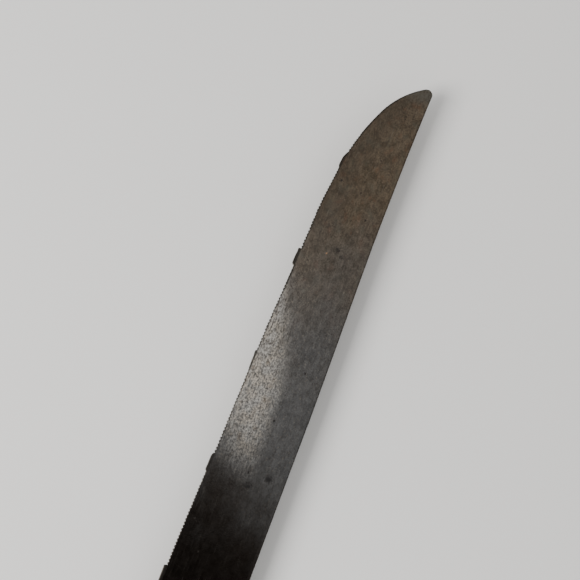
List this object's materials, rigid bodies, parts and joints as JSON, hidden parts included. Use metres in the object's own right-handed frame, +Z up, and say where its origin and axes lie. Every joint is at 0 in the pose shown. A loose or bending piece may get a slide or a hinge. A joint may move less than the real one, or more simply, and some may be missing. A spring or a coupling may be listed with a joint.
{
  "type": "bread knife",
  "caption": "Long carbon-steel bread knife: finely toothed edge broken up by short plain lands, full tang, riveted hardwood scales.",
  "frame": {"origin": "middle of the knife's bounding box on the surface that it lies on: half way along and half way across, at the height of the right scale's flat outer face", "axes": "+X along the blade, from the handle's butt to the tip; +Y across the blade, from the spine to the cutting edge; +Z up, out of the left face, the knife lying on its right side"},
  "size_m": [0.378, 0.0316, 0.0201],
  "materials": {
    "blade_steel": "old carbon steel with a dark brown-grey patina, finely scratched along its length, brighter where rubbed",
    "scale_wood": "dark oiled hardwood, worn smooth, open grain along the handle",
    "rivet_brass": "dull tarnished brass, worn brighter on the crown"
  },
  "bodies": {
    "root": {"blade": "blade_steel", "left_scale": "scale_wood", "right_scale": "scale_wood", "front_rivet_socket": "rivet_brass", "front_rivet_pin": "rivet_brass", "middle_rivet_socket": "rivet_brass", "middle_rivet_pin": "rivet_brass", "rear_rivet_socket": "rivet_brass", "rear_rivet_pin": "rivet_brass"}
  },
  "joints": []
}
